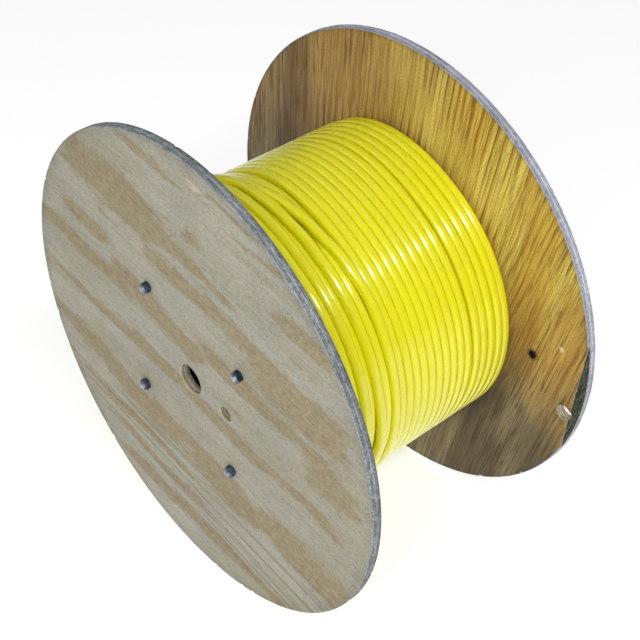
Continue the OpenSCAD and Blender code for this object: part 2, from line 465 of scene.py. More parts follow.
def make_object(name, points, faces, materials, kinds=None, sharp=35):
    """A smooth-shaded mesh object, whose edges over sharp degrees stay hard. kinds gives
    each face's material."""
    mesh = bpy.data.meshes.new(name)
    mesh.from_pydata(points, [], faces)
    for material in materials:
        mesh.materials.append(material)
    if kinds is not None:
        mesh.polygons.foreach_set("material_index", kinds)
    mesh.polygons.foreach_set("use_smooth", [True] * len(mesh.polygons))
    mesh.update()
    mesh.set_sharp_from_angle(angle=math.radians(sharp))
    return add_object(name, mesh)


def face_outwards(obj, sharp=38):
    """Turns all faces of a closed mesh outwards."""
    work = bmesh.new()
    work.from_mesh(obj.data)
    bmesh.ops.recalc_face_normals(work, faces=work.faces)
    work.to_mesh(obj.data)
    work.free()
    obj.data.set_sharp_from_angle(angle=math.radians(sharp))


def add_attribute(obj, name, kind, values):
    layer = obj.data.attributes.new(name, kind, "POINT")
    field = "vector" if kind == "FLOAT_VECTOR" else "value"
    layer.data.foreach_set(field, np.asarray(values, np.float32).ravel())


def ring_faces(rows, sides, closed_ends=True):
    """Faces of a tube whose vertices come ring by ring."""
    faces = []
    for i in range(rows - 1):
        for s in range(sides):
            t = (s + 1) % sides
            faces.append((i * sides + s, i * sides + t, (i + 1) * sides + t, (i + 1) * sides + s))
    if closed_ends:
        faces.append(tuple(range(sides))[::-1])
        faces.append(tuple(range((rows - 1) * sides, rows * sides)))
    return faces


# ---- the cable's path ---------------------------------------------------------------

LAYERS = 4
LAYER_START = 134.0             # degrees about the axle, where each layer climbs on
SHIFT_FROM, SHIFT_TO = 118.0, 58.0   # the turns step one place along within these degrees
TURN_LOW = SHIFT_FROM - 360     # where a turn's own angles begin
CLIMB_SPAN = 44.0
EASE_SPAN = 90.0                # within which a layer's sway dies out at its ends
INNER_TURNS = 27
OUTER_TURNS = 26
EDGE_MM = 5.85                  # centre of a turn that touches a flange
START_MM = 6.0                  # centre of the turns that the two free ends leave

# The outer layer is loosely wound. Its turns are counted from the near flange, and these
# are the steps in mm from one to the next, where they differ from the usual one.
OUTER_STEP_MM = 11.48
ODD_STEPS_MM = {
    0: 12.8, 1: 12.8, 2: 12.8, 3: 12.8, 4: 12.8, 5: 11.0, 6: 9.9, 7: 9.4, 8: 13.9,
    9: 10.8, 10: 12.2, 20: 14.5, 21: 11.4, 22: 12.3, 23: 12.8, 24: 10.4,
}
# Where a loose turn strays along the axle, as (angle, mm towards the far flange).
STRAYS_MM = {
    7: ((30, 0), (74, 2), (95, 4), (118, 3), (165, 0)),
    8: ((-60, 0), (-13, 4), (16, 0.5), (49, 0), (66, -1.5), (80, -5), (95, -8), (118, -12), (200, 0)),
    9: ((60, 0), (72, 3), (84, 8.5), (95, 7.5), (118, 4), (160, 0)),
    10: ((42, 0), (56, -3.5), (70, -10), (83, -15), (95, -21), (118, -24), (205, 0)),
}
RIDING = (6, 8, 10)             # turns that lie over their neighbours
RIDE_LOW, RIDE_HIGH = -60, 200  # between these angles
# Where a loose turn lies deeper than the rest, as (angle, mm outwards).
SUNK_MM = {
    7: ((10, -1), (45, -2.6), (120, -2.6), (170, 0)),
    9: ((50, 0), (66, -1.2), (82, -3), (120, -1)),
}
SQUEEZE = 0.5 * MM              # how far two jackets press into each other
SQUARISH = 2.9                  # 2 for a round cable; wound cables press a little square

START_ROUTE = [
    (-0.109, -0.1515, 0.113), (-0.119, -0.1515, 0.101), (-0.126, -0.1515, 0.087),
    (-0.128, -0.1515, 0.072), (-0.126, -0.151, 0.056), (-0.120, -0.150, 0.032),
    (-0.114, -0.149, 0.008), (-0.108, -0.148, -0.017),
]
END_ROUTE = [
    (-0.156, -0.1515, -0.109), (-0.172, -0.1515, -0.084), (-0.187, -0.1515, -0.057),
    (-0.200, -0.1515, -0.030), (-0.212, -0.1515, -0.002), (-0.223, -0.1515, 0.027),
    (-0.232, -0.1515, 0.057),
]


def layer_r(k):
    return DRUM_R + CABLE_D / 2 + (k - 1) * LAYER_STEP


def places_mm(k):
    """Where layer k's turns lie, in mm from the near flange, in the order they are wound.
    The first is where the layer climbs on, beside a flange."""
    far_edge = 2 * HALF_GAP / MM - EDGE_MM
    if k == LAYERS:
        rows = [START_MM]
        for i in range(OUTER_TURNS - 1):
            rows.append(rows[-1] + ODD_STEPS_MM.get(i, OUTER_STEP_MM))
        return [far_edge] + rows[::-1]
    step = (far_edge - EDGE_MM) / (INNER_TURNS - 0.5)
    rows = [EDGE_MM] + [EDGE_MM + step * (j - 0.5) for j in range(1, INNER_TURNS + 1)]
    if k % 2 == 0:
        rows = [far_edge + EDGE_MM - row for row in rows]
    if k == 1:
        rows[0] = START_MM
    return rows


def wound_to(k):
    """How many degrees layer k is wound through."""
    if k < LAYERS:
        return 360.0 * INNER_TURNS
    x, _, z = END_ROUTE[0]
    end = math.degrees(math.atan2(z, x))
    return 360.0 * (OUTER_TURNS - 1) + (LAYER_START - end) % 360


def lie_of(rows, wound):
    """The place in mm of a point of a layer, and how many steps it has made along."""
    before = LAYER_START - SHIFT_FROM
    done, into = divmod(wound - before, 360.0)
    done = int(done)
    share = smooth(into / (SHIFT_FROM - SHIFT_TO))
    first = rows[max(done, 0)]
    second = rows[min(done + 1, len(rows) - 1)]
    if done < 0:
        return rows[0], 0.0
    return first + (second - first) * share, done + share


def climb(k, wound, last):
    """How far a point of layer k is from its full radius, where the cable changes layer."""
    lift = 0.0
    if k > 1:
        lift -= LAYER_STEP * (1 - smooth(wound / CLIMB_SPAN + 0.5))
    if k < LAYERS:
        lift += LAYER_STEP * smooth((wound - last) / CLIMB_SPAN + 0.5)
    return lift


def layer_path(k, per_turn):
    """Points along layer k, as rows of (angle in degrees, place along the axle, radius)."""
    rows = places_mm(k)
    last = wound_to(k)
    count = int(round(per_turn * last / 360)) + 1
    path = np.zeros((count, 3))
    level = np.zeros(count, int)
    for i in range(count):
        wound = last * i / (count - 1)
        angle = LAYER_START - wound
        place, done = lie_of(rows, wound)
        sway = noise.noise(Vector((wound / 110, 7.3 * k, 0.0)))
        heave = noise.noise(Vector((wound / 70, 3.1 * k, 5.0)))
        radius = layer_r(k) + climb(k, wound, last) + 0.25 * MM * heave
        if k == LAYERS:
            # A crossing belongs to the turn that it leads into.
            turn = OUTER_TURNS - int(math.floor((wound - (LAYER_START - SHIFT_FROM)) / 360 + 1))
            turn = min(max(turn, 0), OUTER_TURNS - 1)
            local = (angle - TURN_LOW) % 360 + TURN_LOW
            for owner, at in ((turn, local), (turn - 1, local + 360)):
                if owner in STRAYS_MM:
                    place += between(STRAYS_MM[owner], at)
                if owner in SUNK_MM:
                    radius += between(SUNK_MM[owner], at) * MM
                if owner in RIDING and RIDE_LOW < at < RIDE_HIGH:
                    level[i] = 1
        ease = min(1.0, wound / EASE_SPAN, (last - wound) / EASE_SPAN)
        place += 0.3 * sway * ease
        path[i] = angle, place * MM - HALF_GAP, radius
    if k == LAYERS:
        ride_over(path, level, per_turn)
    return path


def ride_over(path, level, per_turn):
    """Lifts the turns that lie over others until they clear them, in long low humps."""
    count = len(path)
    need = path[:, 2].copy()
    for i in np.nonzero(level)[0]:
        for turns in (-3, -2, -1, 1, 2, 3):
            j = i + turns * per_turn
            if not 0 <= j < count or level[j]:
                continue
            apart = abs(path[i, 1] - path[j, 1])
            if apart < CABLE_D:
                rise = math.sqrt(CABLE_D ** 2 - apart ** 2) - SQUEEZE
                need[i] = max(need[i], path[j, 2] + rise)
    lift = need - path[:, 2]
    reach = per_turn // 24
    spread = [lift[max(0, i - reach):i + reach + 1].max() for i in range(count)]
    bell = np.exp(-0.5 * (np.arange(-2 * reach, 2 * reach + 1) / reach) ** 2)
    path[:, 2] += np.convolve(spread, bell / bell.sum(), "same")


def cylinder_points(path):
    """(angle, place along the axle, radius) rows as points of the row frame."""
    angle = np.radians(path[:, 0])
    x = path[:, 2] * np.cos(angle)
    z = path[:, 2] * np.sin(angle) + AXLE_Z
    return np.stack([x, path[:, 1], z], 1)


def through(points, steps):
    """A smooth curve through points, with steps pieces between each two (Catmull-Rom)."""
    p = [np.array(q, float) for q in points]
    p = [2 * p[0] - p[1]] + p + [2 * p[-1] - p[-2]]
    curve = []
    for a, b, c, d in zip(p, p[1:], p[2:], p[3:]):
        for s in range(steps):
            t = s / steps
            curve.append(0.5 * (
                2 * b + (c - a) * t + (2 * a - 5 * b + 4 * c - d) * t ** 2
                + (3 * b - a - 3 * c + d) * t ** 3
            ))
    curve.append(p[-2])
    return np.array(curve)


def route_points(route, steps=6):
    lifted = [(x, y, z + AXLE_Z) for x, y, z in route]
    return through(lifted, steps)


def sweep_cable(name, points, sides):
    """A round cable along points, with a slightly rounded cut at each end."""
    points = np.asarray(points, float)
    forward = np.gradient(points, axis=0)
    forward /= np.linalg.norm(forward, axis=1)[:, None]
    axle = np.array([0.0, 1.0, 0.0])
    side = axle - forward * (forward @ axle)[:, None]
    side /= np.linalg.norm(side, axis=1)[:, None]
    out = np.cross(side, forward)
    radius = np.full(len(points), CABLE_D / 2)
    radius[0] = radius[-1] = CABLE_D / 2 - 0.4 * MM
    along = np.concatenate([[0], np.cumsum(np.linalg.norm(np.diff(points, axis=0), axis=1))])
    turn = np.arange(sides) * 2 * math.pi / sides
    round_x, round_y = np.abs(np.cos(turn)), np.abs(np.sin(turn))
    swell = (round_x ** SQUARISH + round_y ** SQUARISH) ** (-1 / SQUARISH)
    ring = np.cos(turn)[None, :, None] * out[:, None] + np.sin(turn)[None, :, None] * side[:, None]
    ring = ring * swell[None, :, None]
    verts = points[:, None] + ring * radius[:, None, None]
    lie = np.zeros((len(points), sides, 3))
    lie[..., 0] = np.cos(turn)
    lie[..., 1] = np.sin(turn)
    lie[..., 2] = along[:, None]
    obj = make_object(
        name, verts.reshape(-1, 3).tolist(), ring_faces(len(points), sides), [JACKET]
    )
    add_attribute(obj, "jacket", "FLOAT_VECTOR", lie)
    return obj


def conductor_end(name, tip, forward):
    """The cut end of the conductor: copper strands, standing a little out of the jacket."""
    strand_r = 0.72 * MM
    out = 1.2 * MM
    rings = ((1, 0.0), (6, 1.5 * MM), (12, 2.95 * MM))
    forward = Vector(forward).normalized()
    turn = forward.to_track_quat("Z", "Y").to_matrix()
    sides = 10
    points = []
    faces = []
    for count, r in rings:
        for s in range(count):
            a = 2 * math.pi * s / count
            foot = Vector((r * math.cos(a), r * math.sin(a), 0))
            first = len(points)
            for height, share in ((-4 * out, 1), (out * 0.85, 1), (out, 0.8)):
                for j in range(sides):
                    b = 2 * math.pi * j / sides
                    edge = Vector((math.cos(b), math.sin(b), 0)) * strand_r * share
                    points.append(Vector(tip) + turn @ (foot + edge + Vector((0, 0, height))))
            faces += [tuple(first + v for v in face) for face in ring_faces(3, sides)]
    obj = make_object(name, points, faces, [bright_copper()])
    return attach(obj, "root")


# Points in a turn and sides of the cable, for each layer.
DETAIL = {1: (48, 8), 2: (48, 8), 3: (72, 12), 4: (96, 20)}


def make_cable():
    """Each layer of the winding is a cord of its own, and so is as long as its turns."""
    for k in range(1, LAYERS + 1):
        per_turn, sides = DETAIL[k]
        points = cylinder_points(layer_path(k, per_turn))
        nodes = [f"winding_layer_{k}"]
        extras = []
        if k == 1:
            tail = route_points(START_ROUTE)[::-1]
            points = np.concatenate([tail[:-1], points])
            extras = [conductor_end("start_conductor", tail[0], tail[0] - tail[1])]
            nodes.append("cable_start")
        if k == LAYERS:
            tail = route_points(END_ROUTE)
            points = np.concatenate([points[:-1], tail])
            extras = [conductor_end("end_conductor", tail[-1], tail[-1] - tail[-2])]
            nodes.append("cable_end")
        cord = sweep_cable(f"cable_layer_{k}", points, sides)
        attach(cord, "root")
        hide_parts(*nodes)


make_cable()

# ---- plywood flanges ----------------------------------------------------------------

# Depths of the rows of vertices through a flange, in mm from its inner face.
ROWS_MM = (0, 0.35, 1.0, 2.0, 3.0, 4.0, 4.6, 6.25, 7.9, 9.2, 10.5, 11.5, 12.15, 12.5)
LAST = len(ROWS_MM) - 1
VENEER_ROW = ROWS_MM.index(2.0)
GROOVE_ROW = ROWS_MM.index(4.0)
FACE_STEP = 4.0                 # mm between the vertices of a face
RIM_POINTS = 720
HOLE_POINTS = 48
WIDE_HOLE_POINTS = 96
WIDE_HOLE_MM = 12               # a hole with more than this radius is wide

Hole = namedtuple("Hole", "x z r")
Patch = namedtuple("Patch", "x z length height strength")


def plane_noise(x, z, size, seed, stretch=1.0, angle=0.0):
    """Noise over a flange in -1 to 1, with features of size mm, drawn out along angle."""
    along = x * math.cos(angle) + z * math.sin(angle)
    across = z * math.cos(angle) - x * math.sin(angle)
    return noise.noise(Vector((along / (size * stretch), seed * 9.7, across / size)))


def patch_cover(patches, x, z, angle, seed):
    """How strongly any patch of late wood covers a place, from 0 to 1."""
    x += 30 * plane_noise(x, z, 60, seed, 2, angle)
    z += 7 * plane_noise(x, z, 26, seed + 1, 3, angle) + 2.5 * plane_noise(x, z, 8, seed + 2, 4, angle)
    cover = 0.0
    for p in patches:
        dx, dz = x - p.x, z - p.z
        along = dx * math.cos(angle) + dz * math.sin(angle)
        across = dz * math.cos(angle) - dx * math.sin(angle)
        far = abs(along / p.length) ** 3 + abs(across / p.height) ** 2
        cover = max(cover, p.strength / (1 + far ** 1.6))
    return cover


def circle_points(hole, count):
    turn = 2 * math.pi / count
    return [
        (hole.x + hole.r * math.cos(turn * i), hole.z + hole.r * math.sin(turn * i))
        for i in range(count)
    ]


def triangulate(loops, lines, radius):
    """Triangles over a round plate, with loops (closed) and lines (open) among their edges.
    Gives (points, triangles, for each point of the loops and lines its index)."""
    points = []
    edges = []
    for shape, closed in [(s, True) for s in loops] + [(s, False) for s in lines]:
        first = len(points)
        points += shape
        count = len(shape)
        edges += [(first + i, first + (i + 1) % count) for i in range(count if closed else count - 1)]
    fixed = len(points)
    tree = kdtree.KDTree(fixed)
    for i, (x, z) in enumerate(points):
        tree.insert((x, z, 0), i)
    tree.balance()
    row_step = FACE_STEP * 0.866
    clear = 0.62 * FACE_STEP
    rows = int(radius / row_step) + 1
    for row in range(-rows, rows + 1):
        z = row * row_step
        for column in range(-rows, rows + 1):
            x = (column + 0.5 * (row % 2)) * FACE_STEP
            if x * x + z * z < (radius - 2) ** 2 and tree.find((x, z, 0))[2] > clear:
                points.append((x, z))
    flat = [Vector(p) for p in points]
    verts, _, faces, origin, _, _ = geometry.delaunay_2d_cdt(flat, edges, [], 0, 1e-4)
    name = {}
    for new, old in enumerate(origin):
        if old and old[0] < fixed:
            for o in old:
                name[new] = min(o, name.get(new, o))
    return verts, faces, name


OUTER, INNER, RIM, BORE, BARE, PIT = range(6)      # a flange's materials
KNOT_ROW = 6                    # the row at which the bottom of the knot lies
SPLINTER_ROW = LAST - 2
PIT_ROWS = {KNOT_ROW, SPLINTER_ROW}


class Plate:
    """A flange being built. A vertex is found again by its key and row. The key of a point
    on the rim or on a hole is (loop, place in the loop), and the rim is loop 0."""

    def __init__(self, side, holes, seed):
        self.side = side
        self.holes = holes
        self.seed = seed
        self.loops = [circle_points(Hole(0, 0, FLANGE_R / MM), RIM_POINTS)]
        for h in holes:
            count = WIDE_HOLE_POINTS if h.r > WIDE_HOLE_MM else HOLE_POINTS
            self.loops.append(circle_points(h, count))
        self.names = [(n, i) for n, loop in enumerate(self.loops) for i in range(len(loop))]
        self.points = []
        self.spots = []
        self.index = {}
        self.faces = []
        self.kinds = []
        self.edge_rows = {}

    def place(self, key, row, x, z):
        """A vertex's x, z and depth, in mm."""
        depth = ROWS_MM[row]
        if key[0] == 0:
            return rim_place(x, z, row, depth, self.seed)
        if isinstance(key[0], int):
            return bore_place(x, z, self.holes[key[0] - 1], row, depth, self.seed)
        dent = 0.12 + 0.12 * plane_noise(x, z, 45, self.seed + row)
        if row == 0:
            depth += dent
        if row == LAST:
            depth -= dent
        return x, z, depth

    def vertex(self, key, row, x, z):
        if (key, row) not in self.index:
            self.index[key, row] = len(self.points)
            px, pz, depth = self.place(key, row, x, z)
            y = self.side * (HALF_GAP + depth * MM)
            self.points.append((px * MM, y, pz * MM + AXLE_Z))
            self.spots.append((x, z, row))
        return self.index[key, row]

    def face(self, corners, kind):
        """A face whose corners are (key, row, x, z)."""
        self.faces.append([self.vertex(*corner) for corner in corners])
        self.kinds.append(kind)

    def lay_face(self, face, loops, lines, row_at):
        """One face of the flange, with steps where row_at(x, z), its row, changes."""
        verts, triangles, fixed = triangulate(self.loops + loops, lines, FLANGE_R / MM)
        keys = []
        for i in range(len(verts)):
            known = fixed.get(i, len(self.names))
            keys.append(self.names[known] if known < len(self.names) else (f"face {face}", i))
        rows_by_edge = {}
        for tri in triangles:
            cx = sum(verts[i].x for i in tri) / 3
            cz = sum(verts[i].y for i in tri) / 3
            if any(math.hypot(cx - h.x, cz - h.z) < h.r * 0.998 for h in self.holes):
                continue
            row = row_at(cx, cz)
            kind = face
            if row not in (0, LAST):
                kind = BORE if row == GROOVE_ROW else PIT if row in PIT_ROWS else BARE
            self.face([(keys[i], row, *verts[i]) for i in tri], kind)
            for a, b in zip(tri, tri[1:] + tri[:1]):
                rows_by_edge.setdefault(frozenset((a, b)), []).append(row)
        for (a, b), rows in rows_by_edge.items():
            if len(rows) == 1:
                self.edge_rows[face, frozenset((keys[a], keys[b]))] = rows[0]
                continue
            kind = PIT if PIT_ROWS.intersection(rows) else BORE
            for row in range(min(rows), max(rows)):
                quad = [(a, row), (b, row), (b, row + 1), (a, row + 1)]
                self.face([(keys[i], r, *verts[i]) for i, r in quad], kind)

    def close_edges(self):
        """The rim and the walls of the holes, from one face to the other."""
        for n, loop in enumerate(self.loops):
            for i in range(len(loop)):
                j = (i + 1) % len(loop)
                pair = frozenset(((n, i), (n, j)))
                top = self.edge_rows.get((INNER, pair), 0)
                bottom = self.edge_rows.get((OUTER, pair), LAST)
                for row in range(top, bottom):
                    quad = [(i, row), (j, row), (j, row + 1), (i, row + 1)]
                    self.face([((n, c), r, *loop[c]) for c, r in quad], RIM if n == 0 else BORE)


def build_flange(name, side, holes, faces_of, materials, marks_at, seed):
    """A plywood flange. faces_of[face] gives that face's extra loops and lines and the row
    at which a place on it lies. marks_at(x, z, row) gives a place's attributes."""
    plate = Plate(side, holes, seed)
    for face, shape in faces_of.items():
        plate.lay_face(face, *shape)
    plate.close_edges()
    obj = make_object(name, plate.points, plate.faces, materials, plate.kinds)
    face_outwards(obj)
    values = np.array([marks_at(*spot) for spot in plate.spots])
    for column, mark in enumerate(("stain", "streak", "tone_and_light", "grime_and_shade")):
        add_attribute(obj, mark, "FLOAT", values[:, column])
    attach(obj, "root")
    return obj


CORNER_WEAR_MM = (1.0, 0.42, 0.1)     # on the rim, by rows from either face
CHIP_MM = (14, 11, 7, 2.5)            # how deep chips go, by the same rows
CHIPS_FROM = 0.42                     # noise above this makes a chip


def rim_place(x, z, row, depth, seed):
    """A point of the rim: corners worn round, plies a little uneven, and small chips."""
    radius = math.hypot(x, z)
    angle = math.atan2(z, x)
    run = angle * radius
    ply = sum(depth > line for line in PLY_LINES_MM)
    inset = 0.22 + 0.2 * noise.noise(Vector((run / 14, ply * 5.1, seed)))
    corner = min(row, LAST - row)
    inset += CORNER_WEAR_MM[corner] if corner < len(CORNER_WEAR_MM) else 0.0
    far_side = 0 if row < LAST / 2 else 1
    chip = noise.noise(Vector((run / 11, far_side * 8.0, seed + 3))) - CHIPS_FROM
    if corner < len(CHIP_MM) and chip > 0:
        inset += chip * CHIP_MM[corner]
    share = (radius - max(inset, 0)) / radius
    return x * share, z * share, depth


def bore_place(x, z, hole, row, depth, seed):
    """A point of a hole's wall: drilled wood, with a torn edge at both faces."""
    dx, dz = x - hole.x, z - hole.z
    angle = math.atan2(dz, dx)
    ply = sum(depth > line for line in PLY_LINES_MM)
    rough = 0.12 * noise.noise(Vector((3 * math.cos(angle), ply * 4 + hole.x, 3 * math.sin(angle))))
    corner = min(row, LAST - row)
    if corner < 2:
        torn = noise.noise(Vector((2.2 * math.cos(angle), seed + hole.z, 2.2 * math.sin(angle))))
        rough += (0.45, 0.15)[corner] * (1 + 2.2 * max(torn, 0))
    share = 1 + rough / hole.r
    return hole.x + dx * share, hole.z + dz * share, depth


def mount_hole(name):
    mount = MOUNTS[name]
    x, z = on_plane(mount["pos_m"])
    return Hole(x / MM, z / MM, mount["dims"]["r_mm"])


ARBOR = mount_hole("arbor_bore")
DRIVE = mount_hole("drive_pin_bore")
END_HOLE = mount_hole("cable_end_hole")
ROD_HOLES = []
for rod in RODS:
    rod_x, rod_z = on_plane(middle(rod))
    ROD_HOLES.append(Hole(rod_x / MM, rod_z / MM, ROD_HOLE_R / MM))
COMMON_HOLES = [ARBOR, DRIVE] + ROD_HOLES

GROOVE_OUT = (DRUM_R + GROOVE_SLACK) / MM
GROOVE_IN = (DRUM_R - DRUM_WALL - GROOVE_SLACK) / MM
GROOVE_LOOPS = [circle_points(Hole(0, 0, r), 300) for r in (GROOVE_OUT, GROOVE_IN)]

# The near flange's late wood, as patches along the grain: x, z, half length and half
# height in mm, and strength.
NEAR_PATCHES = [Patch(*row) for row in (
    (-118, 198, 100, 30, 1.0), (-25, 178, 75, 13, 0.9), (45, 166, 45, 7, 0.8),
    (38, 212, 22, 13, 0.6), (0, 216, 40, 7, 0.45), (212, 188, 52, 17, 0.75),
    (178, 150, 30, 5, 0.5), (12, 138, 72, 13, 0.8), (120, 122, 70, 14, 0.75),
    (190, 92, 90, 30, 0.85), (-190, 120, 42, 12, 0.85), (-140, 152, 30, 8, 0.5),
    (-200, 74, 105, 13, 0.85), (-90, 78, 60, 15, 0.75), (-30, 55, 70, 15, 0.9),
    (90, 56, 60, 14, 0.85), (190, 42, 70, 12, 0.6), (235, 12, 60, 25, 0.65),
    (-190, -6, 120, 8, 0.75), (-70, -14, 70, 12, 0.9), (60, -33, 110, 11, 0.9),
    (205, -44, 70, 11, 0.7), (90, 4, 55, 5, 0.4), (-205, -82, 90, 17, 0.8),
    (-105, -108, 90, 23, 0.85), (20, -112, 70, 14, 0.75), (60, -138, 90, 23, 0.85),
    (190, -142, 90, 26, 0.85), (-40, -135, 60, 8, 0.6), (-120, -158, 120, 9, 0.75),
    (-90, -196, 110, 8, 0.7), (-60, -242, 130, 12, 0.75), (80, -252, 90, 10, 0.65),
    (90, 276, 90, 4, 0.6), (-60, 276, 60, 7, 0.6), (130, 250, 60, 4, 0.6),
)]
# The hidden faces have patches of the same kind.
OTHER_PATCHES = [Patch(*row) for row in (
    (-150, 210, 110, 16, 0.8), (90, 232, 120, 20, 0.9), (10, 160, 160, 12, 0.8),
    (-190, 130, 90, 18, 0.7), (190, 120, 110, 22, 0.85), (-40, 88, 130, 10, 0.8),
    (170, 44, 90, 12, 0.7), (-200, 30, 100, 14, 0.85), (60, -28, 190, 9, 0.8),
    (-150, -70, 120, 18, 0.8), (120, -96, 120, 16, 0.85), (-60, -142, 150, 14, 0.75),
    (170, -176, 90, 14, 0.8), (-110, -206, 110, 16, 0.8), (60, -246, 120, 12, 0.7),
)]
SPLINTER = Patch(32, 281, 15, 5, 1)
KNOT = Patch(224.5, -3.5, 6.0, 4.5, 1)
CHIP = Patch(265, 31, 1.4, 1.0, 1)
VENEER_EDGE_MM = 292.5
VENEER_ANGLE = math.radians(-5.5)


def blob(patch, angle, seed, count=40, ragged=0.25):
    """A ragged closed outline round a patch."""
    outline = []
    for i in range(count):
        a = 2 * math.pi * i / count
        wave = 1 + ragged * noise.noise(Vector((2 * math.cos(a), 2 * math.sin(a), seed)))
        u, v = patch.length * math.cos(a) * wave, patch.height * math.sin(a) * wave
        outline.append((
            patch.x + u * math.cos(angle) - v * math.sin(angle),
            patch.z + u * math.sin(angle) + v * math.cos(angle),
        ))
    return outline


def inside(outline, x, z):
    hit = False
    for (x0, z0), (x1, z1) in zip(outline, outline[1:] + outline[:1]):
        if (z0 > z) != (z1 > z) and x < x0 + (z - z0) * (x1 - x0) / (z1 - z0):
            hit = not hit
    return hit


def on_rim(angle):
    """The rim's own point nearest to an angle."""
    step = 2 * math.pi / RIM_POINTS
    i = round(angle / step) % RIM_POINTS
    return FLANGE_R / MM * math.cos(step * i), FLANGE_R / MM * math.sin(step * i)


def off_veneer(x, z):
    """How far a place lies outwards, and how far along the edge of the lost veneer."""
    nx, nz = math.cos(VENEER_ANGLE), math.sin(VENEER_ANGLE)
    return x * nx + z * nz, z * nx - x * nz


def veneer_cut():
    """The broken edge of the lost veneer: from the rim to the cable-end hole, and on from
    the hole to the rim."""
    half = math.acos(VENEER_EDGE_MM / (FLANGE_R / MM))
    hole = circle_points(END_HOLE, HOLE_POINTS)
    hole_along = off_veneer(END_HOLE.x, END_HOLE.z)[1]
    nx, nz = math.cos(VENEER_ANGLE), math.sin(VENEER_ANGLE)
    lines = []
    for end in (on_rim(VENEER_ANGLE + half), on_rim(VENEER_ANGLE - half)):
        side = off_veneer(*end)[1] - hole_along
        facing = [p for p in hole if (off_veneer(*p)[1] - hole_along) * side > 0]
        start = min(facing, key=lambda p: abs(off_veneer(*p)[0] - VENEER_EDGE_MM))
        count = max(4, int(math.dist(start, end) / 2.2))
        line = []
        for i in range(count + 1):
            t = i / count
            jag = noise.noise(Vector((t * count / 2.6, end[1] / 50, 2.0)))
            jag *= 1.3 * math.sin(math.pi * t)
            x = start[0] + (end[0] - start[0]) * t
            z = start[1] + (end[1] - start[1]) * t
            line.append((x + jag * nx, z + jag * nz))
        lines.append(line)
    return lines


def near_marks(x, z, row):
    """Attributes of the near flange: stain, streak, tone and grime."""
    outer = row > LAST / 2
    patches = NEAR_PATCHES if outer else OTHER_PATCHES
    stain = patch_cover(patches, x, z, NEAR_GRAIN, 3 if outer else 8)
    lines_low = smooth((-118 - z - 0.12 * x) / 40) * smooth((z + 0.12 * x + 262) / 30)
    streak = 0.12 + (0.9 * lines_low if outer else 0.3)
    radius = math.hypot(x, z)
    grime_and_shade = 0.35 * smooth((radius - 285) / 22) * (0.6 + 0.6 * plane_noise(x, z, 30, 4))
    splinter = math.hypot((x - SPLINTER.x) / 1.4, z - SPLINTER.z)
    if outer:
        stain *= smooth((splinter - 9) / 8)
    return stain, streak, 0.5, max(grime_and_shade, 0)


# The far flange's inner face by the angle about the axle: how golden it shows, which is
# painted light and shade, brightest towards the upper right and darker to the left and
# bottom; and how checked it is.
PINE_TONE_AND_LIGHT = (
    (-110, 0.0), (-40, 0.0), (-12, 0.3), (12, 0.58), (30, 0.82), (46, 0.92), (70, 0.92), (106, 0.52),
    (140, 0.3), (180, 0.08), (250, 0.0),
)
PINE_CHECKS = (
    (-110, 0.9), (-60, 0.9), (-10, 0.6), (10, 0.55), (35, 0.45), (90, 0.2), (125, 0.75), (180, 0.9),
    (250, 0.9),
)


def far_marks(x, z, row):
    """Attributes of the far flange, whose inner face is honey pine with painted light and
    shade on it.
    """
    if row > LAST / 2:
        radius = math.hypot(x, z)
        grime_and_shade = 0.35 * smooth((radius - 280) / 25) * (0.6 + 0.6 * plane_noise(x, z, 30, 14))
        return patch_cover(OTHER_PATCHES, -x, z, NEAR_GRAIN, 12), 0.25, 0.5, max(grime_and_shade, 0)
    radius = math.hypot(x, z)
    angle = math.degrees(math.atan2(z, x))
    turn = (angle + 110) % 360 - 110
    # Painted light and shade by the angle, with a little random change.
    tone_and_light = between(PINE_TONE_AND_LIGHT, turn) + 0.16 * plane_noise(x, z, 60, 6, 3, FAR_GRAIN)
    streak = between(PINE_CHECKS, turn) + 0.35 * plane_noise(x, z, 50, 9)
    # Painted shadow of the winding low on the face round the drum; also darker towards the rim.
    winding_shadow = smooth((235 - radius) / 40) * smooth((-20 - turn) / 30)
    grime_and_shade = 0.55 * winding_shadow + 0.3 * smooth((radius - 297) / 8)
    ring = math.hypot(x - KNOT.x, z - KNOT.z)
    grime_and_shade = max(grime_and_shade, 0.9 * (1 - smooth((ring - 5.5) / 4)))
    chip = 1.0 if math.hypot(x - CHIP.x, z - CHIP.z) < 2 * CHIP.length else 0.0
    return chip, streak, min(max(tone_and_light, 0), 1), min(grime_and_shade, 1)


